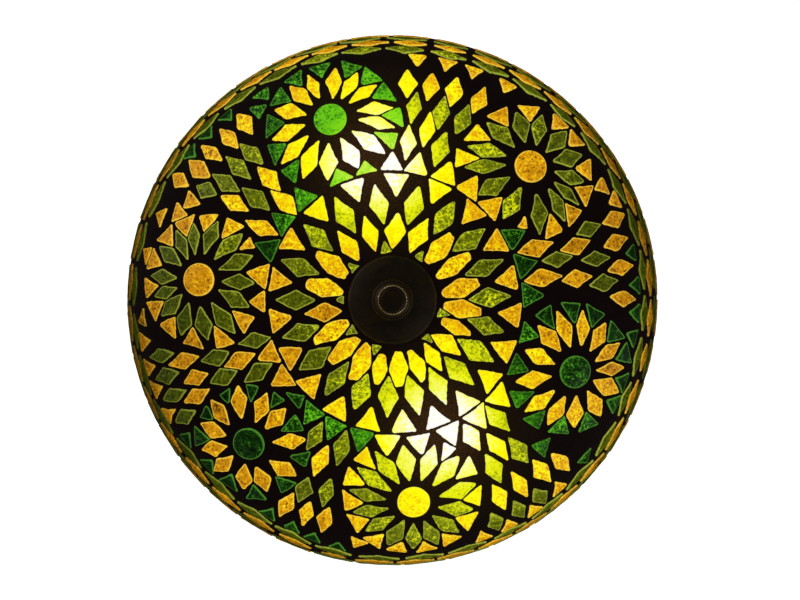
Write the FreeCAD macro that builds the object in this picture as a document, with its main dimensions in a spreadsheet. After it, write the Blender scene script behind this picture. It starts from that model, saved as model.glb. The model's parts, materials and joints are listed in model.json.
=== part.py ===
import FreeCAD, Part
import math
import os
import random
import re
import Sketcher
from FreeCAD import Placement, Rotation, Vector

# Mosaic glass table lamp. Millimetres, +Z up, origin on the resting face under the stem.
# A turned metal stand carries a two-bulb cluster, and a glass dome covered with cut glass
# pieces hangs from the top of its pipe under a heat cap and a finial.

doc = FreeCAD.newDocument("mosaic_lamp")
sheet = doc.addObject("Spreadsheet::Sheet", "sizes")

# ---------------------------------------------------------------- driving dimensions
SIZES = {
    # shade profile: four tangent arcs from the pole outward, then a short straight wall
    "equator_height": 290, "crown_bend": 483, "crown_slope": 10, "shoulder_bend": 135,
    "shoulder_slope": 28, "haunch_bend": 29, "haunch_slope": 58, "flank_bend": 98.7,
    "wall_drop": 14, "tile_thickness": 2.5, "bed_thickness": 1, "glass_thickness": 3,
    "shade_hole": 6, "bed_hole": 14, "bed_lift": 1,
    # metal band round the rim
    "band_thickness": 1.5, "band_height": 24, "band_gap": 0.05,
    # stand
    "felt_thickness": 2, "felt_radius": 72, "felt_hole": 13.5, "foot_radius": 80,
    "foot_height": 46, "foot_wall": 3, "plinth_height": 18, "ballast_radius": 70,
    "ballast_height": 13, "hub_radius": 17, "nut_recess": 13, "recess_depth": 18,
    "pipe_radius": 5, "pipe_bore": 3.6, "pipe_clearance": 0.25, "pipe_start": 10,
    "groove_width": 9, "inlet_height": 8.5, "inlet_bore": 3.3, "inlet_hole": 5,
    "collar_height": 10, "collar_radius": 24, "vase_height": 80, "vase_radius": 27,
    "bead_height": 12, "bead_radius": 17, "stem_height": 86, "stem_radius": 11,
    "stem_top_radius": 8.5, "flute_radius": 1.5, "cup_height": 26,
    # light cluster
    "hub_wall": 2.5, "cluster_radius": 20, "cluster_height": 34, "cluster_shoulder": 14,
    "bulb_tilt": 36.87, "face_radius": 14, "face_height": 22, "back_azimuth": 97,
    "front_azimuth": 290, "holder_radius": 13, "holder_length": 40, "liner_bore": 7.3,
    "cap_radius": 6.9, "cap_start": 9.5, "globe_radius": 22.5, "globe_centre": 60,
    "bulb_glass_wall": 0.8, "chain_reach": 40, "chain_spacing": 4, "chain_beads": 14,
    "bead_size": 1.6, "spout_radius": 3.2, "spout_bore": 1.9, "spout_drop": 32,
    # top fittings
    "seat_radius": 18, "cap_rim_radius": 23, "cap_base": 81.3, "cap_height": 7,
    "finial_base_radius": 10.6, "finial_height": 15, "finial_head_radius": 7.5,
    "insert_radius": 5.9, "lead_radius": 1.1, "lead_offset": 1.5,
    # mosaic layout: distances along the tile surface from the pole
    "ring_half_joint": 0.85, "gem_radius": 8.6, "petal_start": 12,
    "petal_gap": 1.4, "petal_widest": 9.7, "joint_width": 0.7,
}
for row, (alias, value) in enumerate(SIZES.items(), start=1):
    sheet.set(f"A{row}", alias.replace("_", " "))
    sheet.set(f"B{row}", str(value))
    sheet.setAlias(f"B{row}", alias)
doc.recompute()


def size(expression):
    """The value in millimetres, or degrees, of an expression in the sheet's names."""
    return float(sheet.evalExpression(str(expression)))


def bound(expression):
    """The same expression as an object outside the sheet has to write it."""
    return re.sub(r"[a-z]+(_[a-z]+)+", lambda m: "sizes." + m[0] if m[0] in SIZES else m[0], expression)


# ---------------------------------------------------------------- makers
def origin_plane(body, role):
    return [f for f in body.Origin.OriginFeatures if f.Role == role][0]


def arc_through(start, end, bend):
    """Arc of radius |bend| from start to end; a positive bend turns left, a negative one right."""
    (x1, y1), (x2, y2) = start, end
    half = math.hypot(x2 - x1, y2 - y1) / 2
    lift = math.sqrt(max(bend * bend - half * half, 0)) * (1 if bend > 0 else -1)
    cx = (x1 + x2) / 2 - (y2 - y1) / (2 * half) * lift
    cy = (y1 + y2) / 2 + (x2 - x1) / (2 * half) * lift
    first = math.atan2(y1 - cy, x1 - cx)
    last = math.atan2(y2 - cy, x2 - cx)
    circle = Part.Circle(Vector(cx, cy, 0), Vector(0, 0, 1), abs(bend))
    return Part.ArcOfCircle(circle, first, last) if bend > 0 else Part.ArcOfCircle(circle, last, first)


def crown_bend_to_axis(radius, rise):
    """Bend of an arc that rises to the axis and meets it square, so the turned face is a sphere."""
    return f"(({radius}) ^ 2 + ({rise}) ^ 2) / (2 * ({rise}))"


def add_outline(sketch, outline):
    """Closed outline of (across, up) points; a third entry bends the side that ends there."""
    places = [(size(point[0]), size(point[1])) for point in outline]
    count = len(outline)
    ends = []
    for i, point in enumerate(outline):
        before, here = places[i - 1], places[i]
        if len(point) == 3:
            side = sketch.addGeometry(arc_through(before, here, size(point[2])))
            ends.append((side, 1, 2) if size(point[2]) > 0 else (side, 2, 1))
            sketch.addConstraint(Sketcher.Constraint("Radius", side, abs(size(point[2]))))
            sketch.setExpression(f"Constraints[{sketch.ConstraintCount - 1}]", bound(f"abs({point[2]})"))
        else:
            side = sketch.addGeometry(Part.LineSegment(Vector(*before, 0), Vector(*here, 0)))
            ends.append((side, 1, 2))
    for i in range(count):
        side, _, finish = ends[i]
        following, start, _ = ends[(i + 1) % count]
        sketch.addConstraint(Sketcher.Constraint("Coincident", side, finish, following, start))
        for kind, axis, entry in (("DistanceX", -2, outline[i][0]), ("DistanceY", -1, outline[i][1])):
            if abs(size(entry)) < 1e-9:
                sketch.addConstraint(Sketcher.Constraint("PointOnObject", side, finish, axis))
                continue
            sketch.addConstraint(Sketcher.Constraint(kind, -1, 1, side, finish, size(entry)))
            sketch.setExpression(f"Constraints[{sketch.ConstraintCount - 1}]", bound(str(entry)))


def new_sketch(body, name, role):
    sketch = body.newObject("Sketcher::SketchObject", name)
    sketch.AttachmentSupport = (origin_plane(body, role), "")
    sketch.MapMode = "FlatFace"
    return sketch


def turned(label, outline, at=None):
    """A turned piece: its half section revolved about its own Z axis."""
    body = doc.addObject("PartDesign::Body", label)
    sketch = new_sketch(body, label + "_section", "XZ_Plane")
    add_outline(sketch, outline)
    turn = body.newObject("PartDesign::Revolution", label + "_turn")
    turn.Profile = sketch
    turn.ReferenceAxis = (sketch, ["V_Axis"])
    turn.Angle = 360
    sketch.Visibility = False
    if at:
        body.Placement = at
    return body


def ring(label, inner, outer, low, high, at=None):
    return turned(label, [(inner, low), (outer, low), (outer, high), (inner, high)], at)


def nut(label, across_flats, low, high, at=None):
    """A hexagon nut on the lamp pipe."""
    body = doc.addObject("PartDesign::Body", label)
    sketch = new_sketch(body, label + "_hexagon", "XY_Plane")
    radius = size(across_flats) / math.sqrt(3)
    corners = [Vector(radius * math.cos(math.radians(60 * k)), radius * math.sin(math.radians(60 * k)), 0)
               for k in range(6)]
    for k in range(6):
        sketch.addGeometry(Part.LineSegment(corners[k], corners[(k + 1) % 6]))
    bore = sketch.addGeometry(Part.Circle(Vector(), Vector(0, 0, 1), size("pipe_radius + 0.05")))
    sketch.addConstraint(Sketcher.Constraint("Coincident", bore, 3, -1, 1))
    sketch.addConstraint(Sketcher.Constraint("Radius", bore, size("pipe_radius + 0.05")))
    sketch.setExpression(f"Constraints[{sketch.ConstraintCount - 1}]", bound("pipe_radius + 0.05"))
    pad = body.newObject("PartDesign::Pad", label + "_pad")
    pad.Profile = sketch
    pad.setExpression("Length", bound(f"({high}) - ({low})"))
    sketch.AttachmentOffset = Placement(Vector(0, 0, size(low)), Rotation())
    sketch.setExpression("AttachmentOffset.Base.z", bound(low))
    sketch.Visibility = False
    if at:
        body.Placement = at
    return body


def cylinder(name, radius, height, at):
    piece = doc.addObject("Part::Cylinder", name)
    piece.setExpression("Radius", bound(radius))
    piece.setExpression("Height", bound(height))
    piece.Placement = at
    return piece


def boolean(kind, label, base, tool):
    piece = doc.addObject("Part::" + kind, label)
    piece.Base = base
    piece.Tool = tool
    base.Visibility = False
    tool.Visibility = False
    return piece


def feature(label, shape):
    piece = doc.addObject("Part::Feature", label)
    piece.Shape = shape
    piece.Placement = Placement()
    return piece


# ---------------------------------------------------------------- stand
FOOT_TOP = "felt_thickness + foot_height"
COLLAR_TOP = f"{FOOT_TOP} + collar_height"
VASE_TOP = f"{COLLAR_TOP} + vase_height"
BEAD_TOP = f"{VASE_TOP} + bead_height"
STEM_TOP = f"{BEAD_TOP} + stem_height"
CUP_TOP = f"{STEM_TOP} + cup_height"
CLUSTER_TOP = f"{CUP_TOP} + cluster_height"
PIPE_HOLE = "pipe_radius + pipe_clearance"


def make_foot():
    low = "felt_thickness"
    foot = turned("foot", [
        ("foot_radius - foot_wall", low),
        ("foot_radius", low),
        ("foot_radius", f"{low} + 7"),
        ("foot_radius - 3", f"{low} + 10", "3"),
        ("foot_radius - 3", f"{low} + 14"),
        ("foot_radius - 7", f"{low} + plinth_height", "4"),
        ("foot_radius - 11", f"{low} + plinth_height"),
        ("collar_radius + 6", f"{FOOT_TOP} - 4", "-62"),
        ("collar_radius + 3", FOOT_TOP, "4.5"),
        (PIPE_HOLE, FOOT_TOP),
        (PIPE_HOLE, f"{FOOT_TOP} - foot_wall"),
        ("collar_radius", f"{FOOT_TOP} - foot_wall"),
        ("foot_radius - 13", f"{low} + plinth_height - foot_wall", "66"),
        ("foot_radius - 9", f"{low} + plinth_height - foot_wall - 1"),
        ("foot_radius - 3 - foot_wall", f"{low} + 9"),
        ("foot_radius - foot_wall", f"{low} + 6"),
    ])
    doc.recompute()
    hole = new_sketch(foot, "foot_inlet", "XZ_Plane")
    circle = hole.addGeometry(Part.Circle(Vector(0, size("inlet_height"), 0), Vector(0, 0, 1),
                                          size("inlet_hole")))
    hole.addConstraint(Sketcher.Constraint("PointOnObject", circle, 3, -2))
    hole.addConstraint(Sketcher.Constraint("DistanceY", -1, 1, circle, 3, size("inlet_height")))
    hole.setExpression("Constraints[1]", bound("inlet_height"))
    hole.addConstraint(Sketcher.Constraint("Radius", circle, size("inlet_hole")))
    hole.setExpression("Constraints[2]", bound("inlet_hole"))
    cut = foot.newObject("PartDesign::Pocket", "foot_inlet_cut")
    cut.Profile = hole
    cut.Type = "Length"
    cut.setExpression("Length", bound("foot_radius + 5"))
    hole.Visibility = False
    return foot, cut


def make_ballast():
    low = "felt_thickness"
    ballast = turned("ballast_weight", [
        ("nut_recess", low),
        ("ballast_radius", low),
        ("ballast_radius", f"{low} + ballast_height - 3"),
        ("ballast_radius - 3", f"{low} + ballast_height", "3"),
        ("hub_radius + 4", f"{low} + ballast_height"),
        ("hub_radius", f"{low} + ballast_height + 4", "-4"),
        ("hub_radius", f"{FOOT_TOP} - foot_wall"),
        (PIPE_HOLE, f"{FOOT_TOP} - foot_wall"),
        (PIPE_HOLE, f"{low} + recess_depth"),
        ("nut_recess", f"{low} + recess_depth"),
    ])
    doc.recompute()
    groove = new_sketch(ballast, "lead_groove", "XZ_Plane")
    top = "inlet_height + 4"
    half = size("groove_width / 2")
    corners = [(-half, 0), (half, 0), (half, size(top)), (-half, size(top))]
    for k in range(4):
        groove.addGeometry(Part.LineSegment(Vector(*corners[k], 0), Vector(*corners[(k + 1) % 4], 0)))
    for k in range(4):
        groove.addConstraint(Sketcher.Constraint("Coincident", k, 2, (k + 1) % 4, 1))
    for k, kind in ((1, "Vertical"), (2, "Horizontal"), (3, "Vertical")):
        groove.addConstraint(Sketcher.Constraint(kind, k))
    groove.addConstraint(Sketcher.Constraint("PointOnObject", 0, 1, -1))
    groove.addConstraint(Sketcher.Constraint("Symmetric", 0, 1, 0, 2, -2))
    groove.addConstraint(Sketcher.Constraint("DistanceX", 0, 1, 0, 2, 2 * half))
    groove.setExpression(f"Constraints[{groove.ConstraintCount - 1}]", bound("groove_width"))
    groove.addConstraint(Sketcher.Constraint("DistanceY", 1, 1, 1, 2, size(top)))
    groove.setExpression(f"Constraints[{groove.ConstraintCount - 1}]", bound(top))
    cut = ballast.newObject("PartDesign::Pocket", "lead_groove_cut")
    cut.Profile = groove
    cut.Type = "Length"
    cut.setExpression("Length", bound("ballast_radius + 5"))
    groove.Visibility = False
    return ballast, cut


def cut_towards_back(body, cut):
    """Point a pocket towards +Y, and stop if it removes nothing there."""
    doc.recompute()
    volume = body.Shape.Volume
    ahead = body.Shape.CenterOfGravity.y
    if ahead > 0:
        cut.Reversed = not cut.Reversed
        doc.recompute()
    if body.Shape.CenterOfGravity.y >= 0 or abs(body.Shape.Volume - volume) > 0.2 * volume:
        raise RuntimeError(body.Label + ": the cut at the back is not there")


def make_stand():
    ring("felt_pad", "felt_hole", "felt_radius", "0", "felt_thickness")
    cut_towards_back(*make_foot())
    cut_towards_back(*make_ballast())
    seat = "felt_thickness + recess_depth"
    ring("foot_washer", PIPE_HOLE, "nut_recess - 1.5", f"{seat} - 1.5", seat)
    nut("foot_nut", "17", f"{seat} - 6.5", f"{seat} - 1.5")
    ring("threaded_pipe", "pipe_bore", "pipe_radius", "pipe_start", f"{CUP_TOP} + 7")
    back = Placement(Vector(0, size("foot_radius - foot_wall - 4"), size("inlet_height")),
                     Rotation(Vector(1, 0, 0), -90))
    turned("cord_bushing", [
        ("inlet_bore", "0"),
        ("inlet_hole - 0.1", "0"),
        ("inlet_hole - 0.1", "foot_wall + 4.4"),
        ("inlet_hole + 1.2", "foot_wall + 4.4"),
        ("inlet_bore + 1.6", "foot_wall + 7"),
        ("inlet_bore", "foot_wall + 7"),
    ], back)
    turned("column_collar", [
        (PIPE_HOLE, FOOT_TOP),
        ("collar_radius", FOOT_TOP),
        ("collar_radius", f"{FOOT_TOP} + 5", "2.9"),
        ("collar_radius - 7", f"{COLLAR_TOP}", "-8"),
        (PIPE_HOLE, f"{COLLAR_TOP}"),
    ])
    turned("column_vase", [
        (PIPE_HOLE, COLLAR_TOP),
        ("vase_radius - 12", COLLAR_TOP),
        ("vase_radius - 12", f"{COLLAR_TOP} + 3"),
        ("vase_radius - 9", f"{COLLAR_TOP} + 6", "-3.5"),
        ("vase_radius", f"{COLLAR_TOP} + 30", "34"),
        ("vase_radius - 6", f"{COLLAR_TOP} + 46", "22"),
        ("vase_radius - 15", f"{VASE_TOP} - 8", "-48"),
        ("vase_radius - 11", f"{VASE_TOP} - 4", "3.6"),
        ("vase_radius - 11", VASE_TOP),
        (PIPE_HOLE, VASE_TOP),
        (PIPE_HOLE, f"{VASE_TOP} - 4"),
        ("vase_radius - 18", f"{VASE_TOP} - 9"),
        ("vase_radius - 8.5", f"{COLLAR_TOP} + 44"),
        ("vase_radius - 3", f"{COLLAR_TOP} + 30"),
        ("vase_radius - 12", f"{COLLAR_TOP} + 9"),
        (PIPE_HOLE, f"{COLLAR_TOP} + 4"),
    ])
    turned("column_bead", [
        (PIPE_HOLE, VASE_TOP),
        ("bead_radius - 4", VASE_TOP),
        ("bead_radius - 4", f"{VASE_TOP} + 2"),
        ("bead_radius - 4", f"{VASE_TOP} + bead_height - 2", "4.6"),
        ("bead_radius - 4", BEAD_TOP),
        (PIPE_HOLE, BEAD_TOP),
    ])
    make_stem()
    turned("column_cup", [
        (PIPE_HOLE, STEM_TOP),
        ("stem_top_radius + 2", STEM_TOP),
        ("stem_top_radius + 2", f"{STEM_TOP} + 3"),
        ("cluster_radius + 2", f"{CUP_TOP} - 5", "-24"),
        ("cluster_radius + 2", CUP_TOP, "2.9"),
        ("cluster_radius - 3", CUP_TOP),
        ("cluster_radius - 4", f"{CUP_TOP} - 3"),
        (PIPE_HOLE, f"{CUP_TOP} - 3"),
    ])


def make_stem():
    """A tapered stem with flutes cut lengthwise by one pocket and a polar pattern."""
    stem = turned("column_stem", [
        (PIPE_HOLE, BEAD_TOP),
        ("stem_radius + 1", BEAD_TOP),
        ("stem_radius + 1", f"{BEAD_TOP} + 3"),
        ("stem_radius", f"{BEAD_TOP} + 5"),
        ("stem_top_radius", f"{STEM_TOP} - 5"),
        ("stem_top_radius + 1.5", f"{STEM_TOP} - 3"),
        ("stem_top_radius + 1.5", STEM_TOP),
        (PIPE_HOLE, STEM_TOP),
    ])
    doc.recompute()
    flute = new_sketch(stem, "stem_flute", "XY_Plane")
    flute.AttachmentOffset = Placement(Vector(0, 0, size(f"{BEAD_TOP} + 9")), Rotation())
    flute.setExpression("AttachmentOffset.Base.z", bound(f"{BEAD_TOP} + 9"))
    circle = flute.addGeometry(Part.Circle(Vector(size("stem_radius + 0.3"), 0, 0), Vector(0, 0, 1),
                                           size("flute_radius")))
    flute.addConstraint(Sketcher.Constraint("PointOnObject", circle, 3, -1))
    flute.addConstraint(Sketcher.Constraint("DistanceX", -1, 1, circle, 3, size("stem_radius + 0.3")))
    flute.setExpression("Constraints[1]", bound("stem_radius + 0.3"))
    flute.addConstraint(Sketcher.Constraint("Radius", circle, size("flute_radius")))
    flute.setExpression("Constraints[2]", bound("flute_radius"))
    cut = stem.newObject("PartDesign::Pocket", "stem_flute_cut")
    cut.Profile = flute
    cut.Type = "Length"
    cut.Reversed = True
    cut.setExpression("Length", bound("stem_height * 0.45"))
    doc.recompute()
    flutes = stem.newObject("PartDesign::PolarPattern", "stem_flutes")
    flutes.Originals = [cut]
    flutes.Axis = (flute, ["N_Axis"])
    flutes.Angle = 360
    flutes.Occurrences = 12
    stem.Tip = flutes
    flute.Visibility = False


# ---------------------------------------------------------------- light cluster
SIDES = {"back": "back_azimuth", "front": "front_azimuth"}


def outward(side, along=0.0):
    """Placement whose Z axis is a bulb's axis, starting on the cluster's sloping face."""
    azimuth = size(SIDES[side])
    tilt = size("bulb_tilt")
    turn = Rotation(Vector(0, 0, 1), azimuth) * Rotation(Vector(0, 1, 0), 90 - tilt)
    start = Vector(size("face_radius"), 0, size(f"{CUP_TOP} + face_height"))
    start = Rotation(Vector(0, 0, 1), azimuth).multVec(start)
    return Placement(start + turn.multVec(Vector(0, 0, along)), turn)


def make_cluster():
    shoulder = f"{CUP_TOP} + cluster_shoulder"
    body = turned("cluster_core", [
        ("cluster_radius - hub_wall", CUP_TOP),
        ("cluster_radius", CUP_TOP),
        ("cluster_radius", shoulder),
        ("cluster_radius - 12", f"{shoulder} + 16"),
        ("cluster_radius - 12", CLUSTER_TOP),
        (PIPE_HOLE, CLUSTER_TOP),
        (PIPE_HOLE, f"{shoulder} + 15.5"),
        ("cluster_radius - 12 - 0.75", f"{shoulder} + 12.8"),
        ("cluster_radius - hub_wall", f"{shoulder} - 0.2"),
    ])
    holes = boolean("Fuse", "nipple_holes",
                    cylinder("nipple_hole_back", "4.1", "12", outward("back", -8)),
                    cylinder("nipple_hole_front", "4.1", "12", outward("front", -8)))
    boolean("Cut", "cluster_body", body, holes)
    nut("cluster_nut", "15", f"{CUP_TOP} - 3", f"{CUP_TOP} + 1")
    ring("upper_pipe", "pipe_bore", "pipe_radius", f"{shoulder} + 4", "equator_height + cap_base + 14")
    nut("upper_nut", "13", f"{shoulder} + 6.6", f"{shoulder} + 10")


def make_socket(side):
    ring(f"socket_nipple_{side}", "2.6", "4", "0", "8.4", outward(side, -5))
    turned(f"socket_shell_{side}", [
        ("4.1", "0.4"),
        ("7", "0.4"),
        ("7", "2"),
        ("holder_radius", "7", "7.5"),
        ("holder_radius", "holder_length - 3"),
        ("holder_radius + 0.8", "holder_length - 2"),
        ("holder_radius + 0.8", "holder_length"),
        ("holder_radius - 1", "holder_length"),
        ("holder_radius - 1", "5.6"),
        ("8", "3.6"),
        ("4.1", "3.6"),
    ], outward(side))
    turned(f"socket_liner_{side}", [
        ("2.6", "5.8"),
        ("holder_radius - 1.3", "5.8"),
        ("holder_radius - 1.3", "holder_length - 2"),
        ("liner_bore", "holder_length - 2"),
        ("liner_bore", "8"),
        ("2.6", "8"),
    ], outward(side))
    turned(f"socket_contact_{side}", [
        ("0", "8"),
        ("4.5", "8"),
        ("4.5", "8.5"),
        ("2", "9.2"),
        ("0", "9.2"),
    ], outward(side))
    drop = Rotation(Vector(0, 0, 1), size(SIDES[side])).multVec(Vector(size("chain_reach"), 0, 0))
    low = Placement(drop + Vector(0, 0, size("equator_height - spout_drop + 12")), Rotation())
    tube = boolean("Cut", f"spout_tube_{side}",
                   cylinder(f"spout_outside_{side}", "spout_radius", "24", low),
                   cylinder(f"spout_inside_{side}", "spout_bore", "24", low))
    boolean("Cut", f"switch_spout_{side}", tube,
            cylinder(f"socket_space_{side}", "holder_radius + 0.02", "holder_length", outward(side)))


def make_bulb(side):
    turned(f"bulb_cap_{side}", [
        ("0", "cap_start"),
        ("2.4", "cap_start"),
        ("2.4", "cap_start + 1"),
        ("5.2", "cap_start + 3"),
        ("cap_radius", "cap_start + 5"),
        ("cap_radius", "cap_start + 22"),
        ("cap_radius + 0.1", "cap_start + 24"),
        ("cap_radius - 1.2", "cap_start + 24"),
        ("cap_radius - 1.2", "cap_start + 6"),
        ("0", "cap_start + 6"),
    ], outward(side))
    wall = "bulb_glass_wall"
    neck = "cap_start + 24.2"
    turned(f"bulb_glass_{side}", [
        ("0", f"globe_centre + globe_radius - {wall}"),
        (f"globe_radius - {wall}", "globe_centre", f"-(globe_radius - {wall})"),
        ("13", "globe_centre - 17.6", f"-(globe_radius - {wall})"),
        (f"cap_radius - {wall}", f"{neck} + 4", "22"),
        (f"cap_radius - {wall}", neck),
        ("cap_radius", neck),
        ("cap_radius", f"{neck} + 4"),
        ("13.6", "globe_centre - 17.93", "-21"),
        ("globe_radius", "globe_centre", "globe_radius"),
        ("0", "globe_centre + globe_radius", "globe_radius"),
    ], outward(side))
    stem = Part.makeCone(4.5, 2.2, 10, Vector(0, 0, size(neck)))
    stem = stem.fuse(Part.makeCylinder(1.1, 24, Vector(0, 0, size(neck) + 10)))
    parts = [stem]
    for k in range(4):
        angle = math.radians(90 * k + 45)
        foot = Vector(5.5 * math.cos(angle), 5.5 * math.sin(angle), size(neck) + 10)
        top = Vector(3.2 * math.cos(angle), 3.2 * math.sin(angle), size(neck) + 36)
        parts.append(Part.makeCylinder(0.8, (top - foot).Length, foot, top - foot))
    mount = feature(f"bulb_filament_{side}", Part.makeCompound(parts))
    mount.Placement = outward(side)


def make_chain(side):
    """Pull rod in the spout, then a bead chain with a turned drop at its end."""
    drop = Rotation(Vector(0, 0, 1), size(SIDES[side])).multVec(Vector(size("chain_reach"), 0, 0))
    spout_mouth = size("equator_height - spout_drop + 12")
    at = Placement(drop + Vector(0, 0, spout_mouth), Rotation())
    turned(f"pull_rod_{side}", [
        ("0", "0"),
        ("1.8", "0"),
        ("1.8", "1.5"),
        ("1.3", "2"),
        ("1.3", "14"),
        ("0", "14"),
    ], Placement(at.Base - Vector(0, 0, 4), Rotation()))
    pitch = size("chain_spacing")
    beads = int(size("chain_beads"))
    chain = Part.makeCylinder(0.45, pitch * beads, Vector(0, 0, -4.3 - pitch * beads))
    for k in range(beads):
        chain = chain.fuse(Part.makeSphere(size("bead_size"), Vector(0, 0, -6.2 - pitch * k)))
    piece = feature(f"pull_chain_{side}", chain)
    piece.Placement = at
    bottom = 4.3 + pitch * beads
    turned(f"chain_drop_{side}", [
        ("0", "0"),
        ("2.6", "1.2", crown_bend_to_axis("2.6", "1.2")),
        ("4.6", "7", "8"),
        ("1.2", "24", "-40"),
        ("0", "25", crown_bend_to_axis("1.2", "1")),
    ], Placement(drop + Vector(0, 0, spout_mouth - bottom - 25.1), Rotation()))


# ---------------------------------------------------------------- shade
def rad(alias):
    return f"{alias} * 1deg"


CENTRE_R = ["0",
            f"(crown_bend - shoulder_bend) * sin({rad('crown_slope')})"]
CENTRE_R.append(f"{CENTRE_R[1]} + (shoulder_bend - haunch_bend) * sin({rad('shoulder_slope')})")
CENTRE_R.append(f"{CENTRE_R[2]} - (flank_bend - haunch_bend) * sin({rad('haunch_slope')})")
FALL = [f"(crown_bend - shoulder_bend) * cos({rad('crown_slope')})",
        f"(shoulder_bend - haunch_bend) * cos({rad('shoulder_slope')})",
        f"(haunch_bend - flank_bend) * cos({rad('haunch_slope')})"]
CENTRE_Z = [f"equator_height - {FALL[2]} - {FALL[1]} - {FALL[0]}"]
for step in FALL:
    CENTRE_Z.append(f"{CENTRE_Z[-1]} + {step}")
BENDS = ("crown_bend", "shoulder_bend", "haunch_bend", "flank_bend")
SLOPES = ("crown_slope", "shoulder_slope", "haunch_slope")
DEPTH_BED = "tile_thickness"
DEPTH_GLASS = "(tile_thickness + bed_thickness)"
DEPTH_INSIDE = "(tile_thickness + bed_thickness + glass_thickness)"


def junction(arc, slope, depth):
    """Point of one arc at a slope, set in from the tile surface by a depth."""
    return (f"{CENTRE_R[arc]} + ({BENDS[arc]} - {depth}) * sin({slope})",
            f"{CENTRE_Z[arc]} + ({BENDS[arc]} - {depth}) * cos({slope})")


def crown_start(hole, depth):
    return (hole, f"{CENTRE_Z[0]} + sqrt(({BENDS[0]} - {depth}) ^ 2 - {hole} ^ 2)")


def shell_outline(hole, outer, inner, lift):
    """Half section of a shell that follows the shade between two depths."""
    points = [crown_start(hole, inner)]
    for arc in range(3):
        points.append((*junction(arc, rad(SLOPES[arc]), inner), f"-({BENDS[arc]} - {inner})"))
    points.append((*junction(3, "90deg", inner), f"-(flank_bend - {inner})"))
    points.append((f"{CENTRE_R[3]} + flank_bend - {inner}", f"equator_height - wall_drop + {lift}"))
    points.append((f"{CENTRE_R[3]} + flank_bend - {outer}", f"equator_height - wall_drop + {lift}"))
    points.append(junction(3, "90deg", outer))
    for arc in (3, 2, 1):
        points.append((*junction(arc, rad(SLOPES[arc - 1]), outer), f"{BENDS[arc]} - {outer}"))
    points.append((*crown_start(hole, outer), f"crown_bend - {outer}"))
    return points


def make_shade_shells():
    turned("glass_dome", shell_outline("shade_hole", DEPTH_GLASS, DEPTH_INSIDE, "0"))
    turned("grout_bed", shell_outline("bed_hole", DEPTH_BED, DEPTH_GLASS, "bed_lift"))
    face = f"{CENTRE_R[3]} + flank_bend - tile_thickness + band_gap"
    low = "equator_height - wall_drop + 1"
    turned("rim_band", [
        (face, low),
        (f"{face} + band_thickness", low),
        (f"{face} + band_thickness + 1.2", f"{low} + 2", "1.6"),
        (f"{face} + band_thickness", f"{low} + 4", "1.6"),
        (f"{face} + band_thickness", f"{low} + band_height - 4"),
        (f"{face} + band_thickness + 0.6", f"{low} + band_height - 2.6", "1.2"),
        (f"{face} + band_thickness", f"{low} + band_height - 1.2", "1.2"),
        (face, f"{low} + band_height - 1"),
    ])


def make_top():
    inside = "equator_height + cap_base"
    glass_top = f"{CENTRE_Z[0]} + crown_bend - {DEPTH_INSIDE}"
    turned("shade_seat", [
        ("pipe_radius + 0.05", f"{glass_top} - 8"),
        ("9", f"{glass_top} - 8"),
        ("seat_radius", f"{glass_top} - 4"),
        ("seat_radius", f"{glass_top} - 2.2"),
        ("pipe_radius + 0.05", f"{glass_top} - 2.2"),
    ])
    ring("seat_gasket", "pipe_radius + 0.4", "seat_radius - 1", f"{glass_top} - 2.2", f"{glass_top} - 0.6")
    ring("cap_gasket", "shade_hole + 0.4", "12", f"{CENTRE_Z[0]} + crown_bend - {DEPTH_GLASS} + 0.2",
         f"{inside} + 4")
    turned("heat_cap", [
        ("cap_rim_radius - 2", inside),
        ("cap_rim_radius", inside),
        ("cap_rim_radius", f"{inside} + 2"),
        ("cap_rim_radius - 2", f"{inside} + 4", "2.6"),
        ("finial_base_radius", f"{inside} + cap_height", "40"),
        ("shade_hole", f"{inside} + cap_height"),
        ("shade_hole", f"{inside} + cap_height - 2.5"),
        ("finial_base_radius", f"{inside} + cap_height - 2.5"),
        ("cap_rim_radius - 3", f"{inside} + 3", "-40"),
        ("cap_rim_radius - 2", f"{inside} + 2"),
    ])
    base = f"{inside} + cap_height"
    ring("finial_insert", "pipe_radius + 0.05", "insert_radius", base, f"{base} + 7.5")
    make_finial(base)


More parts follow.
